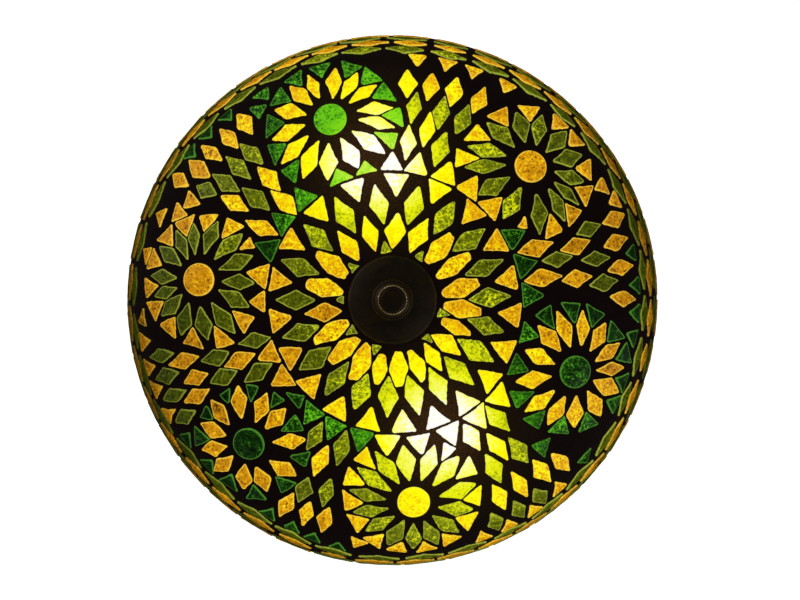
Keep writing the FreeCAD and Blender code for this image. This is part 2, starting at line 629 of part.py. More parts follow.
def make_finial(base):
    """Round knob with a dished top and a notched grip, screwed down on the heat cap."""
    head = "finial_head_radius"
    knob = turned("finial_knob", [
        ("insert_radius + 0.05", base),
        ("finial_base_radius - 0.6", base),
        ("finial_base_radius - 0.6", f"{base} + 2.4", "1.5"),
        (f"{head} - 0.4", f"{base} + 5", "-3.4"),
        (f"{head} - 0.4", f"{base} + 7"),
        (head, f"{base} + 8"),
        (head, f"{base} + finial_height - 1"),
        (f"{head} - 1.2", f"{base} + finial_height", "1.3"),
        (f"{head} - 2", f"{base} + finial_height - 0.8"),
        ("0", f"{base} + finial_height - 1.4", "-" + crown_bend_to_axis(f"({head} - 2)", "0.6")),
        ("0", f"{base} + 9.5"),
        ("insert_radius + 0.05", f"{base} + 9.5"),
    ])
    doc.recompute()
    notch = new_sketch(knob, "grip_notch", "XY_Plane")
    notch.AttachmentOffset = Placement(Vector(0, 0, size(f"{base} + 7.4")), Rotation())
    notch.setExpression("AttachmentOffset.Base.z", bound(f"{base} + 7.4"))
    circle = notch.addGeometry(Part.Circle(Vector(size(f"{head} + 0.25"), 0, 0), Vector(0, 0, 1), 0.55))
    notch.addConstraint(Sketcher.Constraint("PointOnObject", circle, 3, -1))
    notch.addConstraint(Sketcher.Constraint("DistanceX", -1, 1, circle, 3, size(f"{head} + 0.25")))
    notch.setExpression("Constraints[1]", bound(f"{head} + 0.25"))
    notch.addConstraint(Sketcher.Constraint("Radius", circle, 0.55))
    cut = knob.newObject("PartDesign::Pocket", "grip_notch_cut")
    cut.Profile = notch
    cut.Type = "Length"
    cut.Reversed = True
    cut.setExpression("Length", bound("finial_height - 7"))
    doc.recompute()
    notches = knob.newObject("PartDesign::PolarPattern", "grip_notches")
    notches.Originals = [cut]
    notches.Axis = (notch, ["N_Axis"])
    notches.Angle = 360
    notches.Occurrences = 28
    knob.Tip = notches
    notch.Visibility = False


# ---------------------------------------------------------------- mosaic layout
SURFACE = []
CURVE_LENGTH = 0.0
for arc in range(4):
    first = size(SLOPES[arc - 1]) if arc else 0.0
    last = size(SLOPES[arc]) if arc < 3 else 90.0
    SURFACE.append((CURVE_LENGTH, first, size(BENDS[arc]), size(CENTRE_R[arc]), size(CENTRE_Z[arc])))
    CURVE_LENGTH += size(BENDS[arc]) * math.radians(last - first)


def on_surface(distance, depth=0.0):
    """Radius, height and slope of the tile surface at a distance from the pole."""
    if distance > CURVE_LENGTH:
        return SURFACE[3][2] + SURFACE[3][3] - depth, SURFACE[3][4] + CURVE_LENGTH - distance, 90.0
    start, slope, bend, centre_r, centre_z = [s for s in SURFACE if s[0] <= distance + 1e-9][-1]
    slope += math.degrees((distance - start) / bend)
    turn = math.radians(slope)
    return (centre_r + (bend - depth) * math.sin(turn), centre_z + (bend - depth) * math.cos(turn), slope)


def distance_at(height):
    """Distance from the pole down to a height on the flank arc."""
    start, slope, bend, _, centre_z = SURFACE[3]
    return start + bend * (math.acos((size(height) - centre_z) / bend) - math.radians(slope))


class Tile:
    """One cut piece of glass: its corners as (distance from the pole, azimuth in degrees)."""

    def __init__(self, group, corners, round_gem=False):
        self.group = group
        self.corners = corners
        self.round_gem = round_gem

    def flat(self):
        """Corners on a flattened map round the tile, in millimetres."""
        d0, a0 = self.middle()
        return [(math.radians(a - a0) * on_surface((d + d0) / 2)[0], d) for d, a in self.corners]

    def middle(self):
        count = len(self.corners)
        return sum(c[0] for c in self.corners) / count, sum(c[1] for c in self.corners) / count

    def shrink(self, factor):
        d0, a0 = self.middle()
        self.corners = [(d0 + (d - d0) * factor, a0 + (a - a0) * factor) for d, a in self.corners]


def separated(first, second, gap):
    """True when two convex tiles stay at least a gap apart on the flattened map."""
    d1, a1 = first.middle()
    d2, a2 = second.middle()
    away = (a2 - a1 + 180) % 360 - 180
    shift = math.radians(away) * on_surface((d1 + d2) / 2)[0]
    one = first.flat()
    two = [(x + shift, y) for x, y in second.flat()]
    for outline in (one, two):
        for k in range(len(outline)):
            (x1, y1), (x2, y2) = outline[k - 1], outline[k]
            length = math.hypot(x2 - x1, y2 - y1) or 1.0
            nx, ny = (y2 - y1) / length, (x1 - x2) / length
            p = [x * nx + y * ny for x, y in one]
            q = [x * nx + y * ny for x, y in two]
            if min(q) - max(p) >= gap or min(p) - max(q) >= gap:
                return True
    return False


class Mosaic:
    """The hand-laid pattern: each new tile is trimmed until it clears those already down."""

    def __init__(self):
        self.tiles = []
        self.chance = random.Random(7)
        self.gap = size("joint_width")
        self.edge = distance_at("equator_height - wall_drop + band_height + 1")

    def lay(self, group, distance, azimuth, shape, spread=0.45, tilt=2.5, gem=False, inside=False,
            trims=18):
        """Lay a tile whose (along the ring, outward) outline is centred at a place; True if it fits."""
        turn = math.radians(self.chance.uniform(-tilt, tilt))
        corners = []
        for x, y in shape:
            x += self.chance.uniform(-spread, spread)
            y += self.chance.uniform(-spread, spread)
            x, y = x * math.cos(turn) - y * math.sin(turn), x * math.sin(turn) + y * math.cos(turn)
            d = distance + y
            a = azimuth + math.degrees(x / on_surface(d)[0])
            if inside:
                d = min(max(d, along(RING, a) + size("ring_half_joint")), along(BORDER, a))
            corners.append((min(d, self.edge), a))
        tile = Tile(group, corners, gem)
        for _ in range(trims):
            if all(separated(tile, other, self.gap) for other in self.near(tile)):
                self.tiles.append(tile)
                return True
            tile.shrink(0.97)
        return False

    def near(self, tile):
        d0, a0 = tile.middle()
        for other in self.tiles:
            d1, a1 = other.middle()
            across = math.radians((a1 - a0 + 180) % 360 - 180) * on_surface(d0)[0]
            if math.hypot(across, d1 - d0) < 34:
                yield other


def diamond(length, width, blunt=0.0):
    """Long axis outward; blunt cuts the two pointed ends to a short side."""
    if blunt == 0:
        return [(0, length / 2), (-width / 2, 0), (0, -length / 2), (width / 2, 0)]
    cut = blunt * width / 2
    return [(cut, length / 2), (-cut, length / 2), (-width / 2, 0), (-cut, -length / 2),
            (cut, -length / 2), (width / 2, 0)]


def petal(length, width):
    """Kite, widest a little beyond its middle."""
    return [(0, length / 2), (-width / 2, 0.05 * length), (0, -length / 2), (width / 2, 0.05 * length)]


def triangle(height, width, point_out):
    tip = height / 2 if point_out else -height / 2
    return [(0, tip), (-width / 2, -tip), (width / 2, -tip)]


def turned_outline(shape, angle, offset_x, offset_y):
    """Rotate an outline from pointing outward to an angle, then move it."""
    turn = math.radians(angle - 90)
    return [(x * math.cos(turn) - y * math.sin(turn) + offset_x,
             x * math.sin(turn) + y * math.cos(turn) + offset_y) for x, y in shape]


# the two laid lines the pattern is set out from, as (azimuth, distance from the pole)
RING = [(20, 66.5), (100, 66.5), (150, 65.5), (210, 65.5), (250, 69), (290, 71), (320, 70.5), (345, 68)]
BORDER = [(15, 138), (85, 137), (115, 139), (145, 144), (180, 149), (200, 150), (222, 141),
          (238, 141), (262, 149), (300, 151), (320, 145), (342, 138)]
# azimuth and distance of the gem, whether the petals are olive, how far they reach, and their angles
ROSETTES = [
    (44, 101.5, True, 32, (9, 36, 61, 89, 118, 143, 161, 183, 209, 252, 286, 315, 339)),
    (109, 101, False, 31.5, (10, 35, 61, 83, 112, 134, 153, 177, 197, 229, 260, 292, 318, 346)),
    (174, 103, True, 30.5, (22, 45, 67, 90, 119, 141, 161, 184, 213, 241, 269, 293, 324, 355)),
    (225, 108, False, 28.5, (31, 59, 94, 121, 149, 175, 211, 245, 272, 312, 356)),
    (276, 108, True, 32, (22, 47, 71, 95, 121, 146, 167, 188, 213, 239, 266, 295, 325, 358)),
    (338.5, 104, False, 30.5, (19, 44, 66, 93, 123, 151, 178, 203, 237, 272, 301, 328, 356)),
]
# rows of diamonds between the rosettes: distance, length, and their azimuths
AMBER_ROWS = [
    (129, 17, (20,)), (125, 17, (14.5, 8, 0.5)), (101, 18.5, (16.5,)), (98, 18, (6.5,)),
    (79.5, 20, (20, 8.5)),
    (116.5, 18, (86, 80, 73.5, 66.5)), (91, 20, (78.5,)), (83, 20, (84.5,)),
    (135, 18, (150.5,)), (127, 19, (146, 141)), (125, 18, (135.5, 130)), (98, 18, (148.5,)),
    (91, 18, (135.5,)), (78, 20, (151,)), (75.5, 20, (138,)),
    (117, 18.5, (206, 196)), (113, 16, (201.5,)), (86.5, 18.5, (201.5,)),
    (125, 18, (253, 248, 242.5)), (92.5, 19, (246,)),
    (127, 17.5, (316,)), (122.5, 18.5, (311,)), (121, 19, (304.5, 298.5)), (95, 20, (305.5,)), (82.5, 18, (300,)),
]
OLIVE_ROWS = [
    (111, 18, (20, 11.5)), (113.5, 17, (4.5,)), (89, 19, (14,)),
    (102.5, 19, (83.5, 75.5, 69)), (83.5, 20, (72.5,)),
    (116, 14, (149.5,)), (108, 19.5, (145, 139.5, 134)), (89.5, 19.5, (143.5,)),
    (130.5, 18, (209.5, 203.5, 198.5, 193.5)), (98, 18, (204.5, 198)), (79.5, 19, (208.5,)),
    (74.5, 18.5, (196.5,)),
    (108, 18, (251,)), (111.5, 16, (245,)), (82, 19.5, (251, 240.5)),
    (136, 17, (307, 301, 295)), (104.5, 18.5, (310, 301)), (83, 18.5, (311.5,)),
]
# triangles along the border, pointing in: group, height, and their azimuths
BORDER_TRIANGLES = [
    ("amber_triangles", 10, (84, 77, 70.5, 62, 24)), ("green_triangles", 9, (11, 3.5, -3)),
    ("green_triangles", 10, (144, 138, 132, 257.5, 251.5, 246, 240)),
    ("amber_triangles", 14, (207, 200.5, 195.5, 189.5)),
    ("amber_triangles", 13, (304, 297.5, 311.5, 291)),
]
# triangles standing on the ring
RING_TRIANGLES = [
    ("green_triangles", (2, 15, 27.5, 101.5, 113, 131, 144.5, 157.5, 234.5, 245, 257, 332, 346)),
    ("amber_triangles", (43, 55.5, 67, 79.5, 90, 169.5, 180.5, 204, 215.5, 225, 268, 281, 293.5, 306, 318)),
]
CENTRE_COUNT = 20
# each rim row: group, how far below the border, tiles in the row, azimuth of the first
RIM_ROWS = [("olive_rim_tiles", 5.6, 36, 7), ("amber_rim_tiles", 15.6, 40, 5),
            ("olive_rim_tiles", 25.6, 36, 7), ("amber_rim_tiles", 35.6, 40, 5)]


def along(line, azimuth):
    """Distance of a laid line at an azimuth, eased between its set points."""
    azimuth %= 360
    points = [(line[-1][0] - 360, line[-1][1])] + line + [(line[0][0] + 360, line[0][1])]
    for (a1, d1), (a2, d2) in zip(points, points[1:]):
        if azimuth <= a2:
            return d1 + (d2 - d1) * (1 - math.cos(math.pi * (azimuth - a1) / (a2 - a1))) / 2


def crowded(azimuth):
    """Azimuth after the rings round the cap are drawn together on one side, as they were laid."""
    return azimuth + 9 * (1 - math.cos(math.radians(azimuth - 15)))


def lay_centre(mosaic):
    """Rows round the cap: long diamonds, the diamonds in their gaps, and a ring of triangles."""
    pitch = 360 / CENTRE_COUNT
    on_ring = [crowded(10.4 + pitch * k) for k in range(CENTRE_COUNT)]
    between = [crowded(10.4 + pitch * (k + 0.5)) for k in range(CENTRE_COUNT)]
    for place in on_ring:
        blunt = 0.35 if mosaic.chance.random() < 0.4 else 0.0
        mosaic.lay("amber_centre_tiles", 36, place, diamond(20, 9.6, blunt), 0.8, 8)
    for place in on_ring:
        mosaic.lay("amber_triangles", along(RING, place) - size("ring_half_joint") - 6, place,
                   triangle(12, 13, False), 0.3, 1.5)
    for place in between:
        mosaic.lay("olive_centre_tiles", 50.5, place, diamond(21.5, 10), 0.6, 4)
    for place in between[::2]:
        mosaic.lay("olive_centre_tiles", 27.6, place, triangle(5.5, 6, True), 0.4, 6)


def lay_rosettes(mosaic):
    start = size("petal_start")
    for azimuth, distance, olive, end, angles in ROSETTES:
        circle = [(size("gem_radius") * math.cos(math.radians(t)),
                   size("gem_radius") * math.sin(math.radians(t))) for t in range(0, 360, 24)]
        mosaic.lay("amber_gems" if olive else "green_gems", distance, azimuth, circle, 0, 0, True)
        for k, angle in enumerate(angles):
            before, after = (angle - angles[k - 1]) % 360, (angles[(k + 1) % len(angles)] - angle) % 360
            room = math.radians(0.6 * min(before, after) + 0.2 * (before + after)) * (start + 0.6 * (end - start))
            width = min(room - size("petal_gap"), size("petal_widest"))
            aside = 1 + 0.09 * math.cos(math.radians(angle)) ** 2
            reach = (start + end) / 2 * aside + mosaic.chance.uniform(-0.4, 0.4)
            outline = turned_outline(petal(end - start, width), angle,
                                     reach * math.cos(math.radians(angle)),
                                     reach * math.sin(math.radians(angle)))
            mosaic.lay("olive_petals" if olive else "amber_petals", distance, azimuth, outline,
                       0.45, 1.5, inside=True)


def lay_wedges(mosaic):
    """Triangles between the petals, pointing at the gem; near the border the base lies on it."""
    for azimuth, distance, olive, reach, angles in ROSETTES:
        standing = along(RING, azimuth) + 12 - distance
        highest = along(BORDER, azimuth) - distance
        for k, first in enumerate(angles):
            gap = (angles[(k + 1) % len(angles)] - first) % 360
            angle = math.radians(first + gap / 2)
            out_x, out_y = math.cos(angle), math.sin(angle)
            nearest = reach - 6 - 0.16 * (gap - 26)
            if (nearest + 4) * out_y < standing:
                continue
            for tip, half, trims in ((nearest, 5.8, 4), (nearest + 1.5, 5.6, 6), (nearest - 1, 5, 25)):
                base = tip + 10.5
                outline = [(tip * out_x, tip * out_y),
                           (base * out_x - half * out_y, base * out_y + half * out_x),
                           (base * out_x + half * out_y, base * out_y - half * out_x)]
                if base * out_y + 2 > highest:
                    outline[1:] = [(tip * out_x - half, highest), (tip * out_x + half, highest)]
                if mosaic.lay("amber_triangles" if olive else "green_triangles", distance, azimuth,
                              outline, 0.35, 1, inside=True, trims=trims):
                    break


def lay_ring(mosaic):
    """Triangles standing on the ring, pointing out."""
    for group, azimuths in RING_TRIANGLES:
        for azimuth in azimuths:
            for height in (11.4, 9, 7):
                if mosaic.lay(group, along(RING, azimuth) + size("ring_half_joint") + height / 2,
                              azimuth, triangle(height, 13, True), 0.4, 2, inside=True, trims=8):
                    break


def lay_bands(mosaic):
    """Lattice of diamonds between each pair of rosettes."""
    for group, rows in (("amber_band_tiles", AMBER_ROWS), ("olive_band_tiles", OLIVE_ROWS)):
        for distance, length, azimuths in rows:
            for azimuth in azimuths:
                mosaic.lay(group, distance, azimuth, diamond(length, 9), 0.7, 3, inside=True)


def lay_border(mosaic):
    """Triangles along the border, pointing in."""
    for group, height, azimuths in BORDER_TRIANGLES:
        for azimuth in azimuths:
            mosaic.lay(group, along(BORDER, azimuth) - height / 2, azimuth,
                       triangle(height, 10, False), 0.5, 3, inside=True)


def fill_gaps(mosaic):
    """Spare small triangles set wherever the pattern has left a wide joint."""
    for _ in range(1500):
        azimuth = mosaic.chance.uniform(0, 360)
        distance = mosaic.chance.uniform(along(RING, azimuth) + 5, along(BORDER, azimuth) - 5)
        nearest = min(ROSETTES, key=lambda r: abs((r[0] - azimuth + 180) % 360 - 180))
        outline = turned_outline(triangle(9.5, 10, True), mosaic.chance.uniform(0, 360), 0, 0)
        mosaic.lay("amber_triangles" if nearest[2] else "green_triangles", distance, azimuth,
                   outline, 0.4, 0, inside=True, trims=1)


def lay_rim(mosaic):
    """Rows of lying diamonds down the side, following the border line."""
    for group, below, count, first in RIM_ROWS:
        for k in range(count):
            azimuth = first + 360 / count * k
            distance = along(BORDER, azimuth) + below
            radius = on_surface(distance)[0]
            half = math.pi * radius / count - 1
            outline = [(x, y + along(BORDER, azimuth + math.degrees(x / radius)) + below - distance)
                       for x, y in ((half, 0), (0, 5.2), (-half, 0), (0, -5.2))]
            mosaic.lay(group, distance, azimuth, outline, 0.5, 1.5)


def tile_solid(tile):
    """A flat slab of glass that touches the bed below its middle."""
    thickness = size("tile_thickness")
    distance, azimuth = tile.middle()
    radius, height, slope = on_surface(distance, thickness)
    spin = Rotation(Vector(0, 0, 1), azimuth)
    normal = spin.multVec(Vector(math.sin(math.radians(slope)), 0, math.cos(math.radians(slope))))
    touch = spin.multVec(Vector(radius, 0, height)) + normal * 0.02
    if tile.round_gem:
        return Part.makeCylinder(size("gem_radius"), thickness + 0.6, touch, normal)
    corners = []
    for d, a in tile.corners:
        r, z, _ = on_surface(d, thickness)
        point = Rotation(Vector(0, 0, 1), a).multVec(Vector(r, 0, z))
        corners.append(point - normal * (point - touch).dot(normal))
    face = Part.Face(Part.makePolygon(corners + corners[:1]))
    return face.extrude(normal * thickness)


def make_mosaic():
    mosaic = Mosaic()
    lay_centre(mosaic)
    lay_rosettes(mosaic)
    lay_ring(mosaic)
    lay_bands(mosaic)
    lay_wedges(mosaic)
    lay_border(mosaic)
    fill_gaps(mosaic)
    lay_rim(mosaic)
    for group in sorted({tile.group for tile in mosaic.tiles}):
        solids = [tile_solid(tile) for tile in mosaic.tiles if tile.group == group]
        feature(group, Part.makeCompound(solids))
    return mosaic


# ---------------------------------------------------------------- wiring
def lead_path(points, bends):
    """Straight runs joined by tangent arcs."""
    edges = []
    start = points[0]
    for corner, following, bend in zip(points[1:-1], points[2:], bends):
        into = (corner - start).normalize()
        away = (following - corner).normalize()
        turn = into.getAngle(away)
        back = bend * math.tan(turn / 2)
        first, last = corner - into * back, corner + away * back
        middle_out = (away - into).normalize()
        centre = corner + middle_out * (bend / math.cos(turn / 2))
        edges.append(Part.makeLine(start, first))
        edges.append(Part.Arc(first, centre - middle_out * bend, last).toShape())
        start = last
    edges.append(Part.makeLine(start, points[-1]))
    return Part.Wire(edges)


def lead(side, offset):
    """Insulated lead from a socket, down inside the pipe and out to the bushing."""
    seat = outward(side)
    spread = size("lead_offset") * offset
    low = size("inlet_height")
    points = [seat.multVec(Vector(0, 0, 5.2)), seat.multVec(Vector(0, 0, -7)),
              Vector(spread, 0, size(f"{CUP_TOP} + 9.5")), Vector(spread, 0, low),
              Vector(spread, size("foot_radius - foot_wall - 4.5"), low)]
    path = lead_path(points, (3.5, 3.5, 4.2))
    rim = Part.makeCircle(size("lead_radius"), points[0], points[1] - points[0])
    return path.makePipeShell([Part.Wire([rim])], True, True)


# ---------------------------------------------------------------- build and write
NAMES = """felt_pad foot ballast_weight foot_washer foot_nut threaded_pipe cord_bushing column_collar
column_vase column_bead column_stem column_cup cluster_body cluster_nut upper_pipe upper_nut
socket_leads shade_seat seat_gasket glass_dome grout_bed rim_band cap_gasket heat_cap
finial_insert finial_knob""".split()
for side in SIDES:
    NAMES += [f"{part}_{side}" for part in ("socket_nipple", "socket_shell", "socket_liner",
                                            "socket_contact", "switch_spout", "bulb_cap", "bulb_glass",
                                            "bulb_filament", "pull_rod", "pull_chain", "chain_drop")]

make_stand()
make_cluster()
for side in SIDES:
    make_socket(side)
    make_bulb(side)
    make_chain(side)
feature("socket_leads", Part.makeCompound([lead("back", -1), lead("front", 1)]))
make_shade_shells()
make_top()
layout = make_mosaic()
NAMES += sorted({tile.group for tile in layout.tiles})
doc.recompute()

for piece in doc.Objects:
    if "Invalid" in piece.State or "Error" in piece.State:
        raise RuntimeError(f"{piece.Label} did not build: {piece.State}")
os.makedirs("parts", exist_ok=True)
for name in NAMES:
    shape = doc.getObjectsByLabel(name)[0].Shape
    if shape.isNull() or not shape.isValid():
        raise RuntimeError(name + " has no valid shape")
    shape.exportStep(f"parts/{name}.step")
print(len(NAMES), "sub-parts,", len(layout.tiles), "tiles")
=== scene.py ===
import json
import math
import random

import bmesh
import bpy
import numpy as np
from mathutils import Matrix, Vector, kdtree, noise
from mathutils.bvhtree import BVHTree


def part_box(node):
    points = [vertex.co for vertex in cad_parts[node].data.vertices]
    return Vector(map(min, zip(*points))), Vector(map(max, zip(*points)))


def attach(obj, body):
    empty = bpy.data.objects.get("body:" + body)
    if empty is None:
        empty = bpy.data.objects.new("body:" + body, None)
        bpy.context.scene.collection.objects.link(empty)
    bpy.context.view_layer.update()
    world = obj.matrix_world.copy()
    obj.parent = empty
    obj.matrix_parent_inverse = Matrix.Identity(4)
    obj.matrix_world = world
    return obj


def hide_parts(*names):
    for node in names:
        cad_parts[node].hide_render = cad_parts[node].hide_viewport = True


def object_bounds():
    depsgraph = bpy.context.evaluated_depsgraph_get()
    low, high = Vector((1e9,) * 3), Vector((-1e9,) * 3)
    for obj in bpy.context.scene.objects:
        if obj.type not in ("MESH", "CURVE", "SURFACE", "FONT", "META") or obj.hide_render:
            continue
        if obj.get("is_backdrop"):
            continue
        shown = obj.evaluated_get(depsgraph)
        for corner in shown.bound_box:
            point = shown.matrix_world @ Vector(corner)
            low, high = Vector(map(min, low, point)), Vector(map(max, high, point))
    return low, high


# Looks of the mosaic glass table lamp: hand-cut glass set in dark grout over a clear dome,
# lit from inside by two bulbs, on a turned brass stand. Metres, +Z up.

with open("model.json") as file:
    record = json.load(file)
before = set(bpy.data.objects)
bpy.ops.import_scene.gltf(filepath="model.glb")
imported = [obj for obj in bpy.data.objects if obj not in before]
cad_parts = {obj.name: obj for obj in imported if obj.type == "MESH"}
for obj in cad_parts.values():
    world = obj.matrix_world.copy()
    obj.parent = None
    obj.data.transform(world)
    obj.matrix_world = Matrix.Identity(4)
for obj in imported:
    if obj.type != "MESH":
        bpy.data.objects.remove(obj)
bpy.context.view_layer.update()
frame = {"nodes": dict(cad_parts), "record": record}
MM = 0.001

# ---------------------------------------------------------------- places from the frame
BULBS = []
for side in ("back", "front"):
    low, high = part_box(f"bulb_glass_{side}")
    BULBS.append((low + high) / 2)
BED_LOW, BED_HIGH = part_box("grout_bed")
TILE_THICKNESS = 2.5 * MM
BED_THICKNESS = BED_HIGH.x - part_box("glass_dome")[1].x
# height of the shade's widest line, and a point well inside the shade
EQUATOR = 290 * MM
INSIDE = Vector((0, 0, EQUATOR - 100 * MM))

# Light that reaches a surface falls off with distance from the nearer bulb's hot lower half, and is 1
# at the reach of full light. Between these two heights it drops to a share, towards the dim rim.
HOT_DROP = 25 * MM
FULL_REACH = 72 * MM
FALL_OFF = 2.8
RIM_FADE = (0.322, 0.352)
RIM_SHARE = 0.2


# ---------------------------------------------------------------- material helpers
def linear(red, green, blue):
    """Screen colour, 0 to 255 a channel, as linear light with full opacity."""
    parts = [c / 255 for c in (red, green, blue)]
    return tuple(c / 12.92 if c <= 0.04045 else ((c + 0.055) / 1.055) ** 2.4 for c in parts) + (1,)


class Finish:
    """A material under construction: put() adds a node, and its sockets take values or outputs."""

    def __init__(self, name, **constants):
        self.material = bpy.data.materials.new(name)
        self.material.use_nodes = True
        self.tree = self.material.node_tree
        self.shader = self.tree.nodes["Principled BSDF"]
        for socket, value in constants.items():
            self.shader.inputs[socket.replace("_", " ")].default_value = value

    def put(self, kind, inputs=None, **settings):
        node = self.tree.nodes.new("ShaderNode" + kind)
        for name, value in settings.items():
            setattr(node, name, value)
        for socket, value in (inputs or {}).items():
            self.feed(node.inputs[socket], value)
        return node

    def feed(self, socket, value):
        if isinstance(value, bpy.types.NodeSocket):
            self.tree.links.new(value, socket)
        else:
            socket.default_value = value

    def math(self, operation, *values):
        inputs = dict(enumerate(values))
        return self.put("Math", inputs, operation=operation).outputs[0]

    def place(self):
        """Object coordinates."""
        return self.put("TexCoord").outputs["Object"]

    def noise(self, where, scale, detail, roughness=0.55, distortion=0.0):
        return self.put("TexNoise", {"Vector": where, "Scale": scale, "Detail": detail,
                                     "Roughness": roughness, "Distortion": distortion}).outputs["Fac"]

    def spread(self, value, low, high, start=0.3, end=0.7):
        """Value from start..end brought to low..high."""
        return self.put("MapRange", {"Value": value, "From Min": start, "From Max": end,
                                     "To Min": low, "To Max": high}).outputs[0]

    def ramp(self, value, stops):
        """Colour ramp of (place, colour) stops, two or more."""
        node = self.put("ValToRGB", {"Fac": value})
        elements = node.color_ramp.elements
        while len(elements) < len(stops):
            elements.new(1.0)
        for element, (place, colour) in zip(elements, stops):
            element.position, element.color = place, colour
        return node.outputs["Color"]

    def relief(self, height, distance, strength):
        """Fine surface relief, as a bump."""
        bump = self.put("Bump", {"Height": height, "Distance": distance, "Strength": strength})
        self.feed(self.shader.inputs["Normal"], bump.outputs[0])

    def set(self, **sockets):
        """Gives sockets of the shader their values or outputs."""
        for name, value in sockets.items():
            self.feed(self.shader.inputs[name.replace("_", " ")], value)

    def lamplight(self):
        """Light at a point from the nearer bulb, about 1 straight above it; less near the rim."""
        here = self.put("NewGeometry").outputs["Position"]
        parts = []
        for bulb in BULBS:
            hot = bulb - Vector((0, 0, HOT_DROP))
            reach = self.put("VectorMath", {0: here, 1: tuple(hot)}, operation="DISTANCE").outputs["Value"]
            parts.append(self.math("POWER", self.math("DIVIDE", FULL_REACH, reach), FALL_OFF))
        height = self.put("SeparateXYZ", {0: here}).outputs["Z"]
        shaded = self.spread(height, RIM_SHARE, 1.0, *RIM_FADE)
        return self.math("MULTIPLY", self.math("SMOOTH_MAX", *parts, 0.06), shaded)


# ---------------------------------------------------------------- lit glass
# (lamplight, screen colour) of each glass, from far from the bulbs to straight above one
LIT = {
    "amber": [(0.0, (40, 26, 2)), (0.05, (118, 78, 5)), (0.1, (166, 110, 7)), (0.16, (188, 128, 9)),
              (0.23, (206, 142, 10)), (0.3, (220, 156, 11)), (0.4, (236, 178, 10)), (0.5, (245, 206, 8)),
              (0.6, (250, 232, 6)), (0.68, (254, 248, 4)), (0.74, (255, 255, 10)), (0.81, (255, 255, 120)),
              (0.88, (255, 255, 255))],
    "olive": [(0.0, (14, 18, 1)), (0.05, (40, 48, 2)), (0.1, (54, 62, 3)), (0.16, (64, 72, 4)),
              (0.23, (74, 82, 6)), (0.3, (86, 94, 8)), (0.4, (98, 108, 9)), (0.5, (124, 134, 11)),
              (0.6, (158, 168, 12)), (0.68, (200, 208, 10)), (0.76, (240, 244, 10)), (0.84, (252, 253, 120)),
              (0.91, (255, 255, 255))],
    "green": [(0.0, (4, 10, 2)), (0.05, (5, 17, 3)), (0.14, (8, 28, 3)), (0.23, (12, 39, 4)),
              (0.32, (17, 51, 5)), (0.4, (26, 68, 7)), (0.5, (40, 96, 10)), (0.6, (60, 134, 14)),
              (0.7, (90, 184, 20)), (0.8, (140, 226, 24)), (0.95, (232, 252, 90))],
}
# screen colour of the painted glints on broken edges and bright streaks, where the glass scatters the lamp's
# light
GLINT_COLOUR = {"amber": linear(255, 214, 70), "olive": linear(172, 182, 64), "green": linear(84, 150, 46)}
# screen colour of the unlit glass
BODY = {"amber": linear(62, 40, 6), "olive": linear(30, 34, 8), "green": linear(8, 28, 12)}
# lamplight at the end of the colour ramp
BRIGHTEST = 1.25
# lamplight up to which a bright streak or a pale piece may shine; past it only the lamp counts
STREAK_LIMIT = 0.73


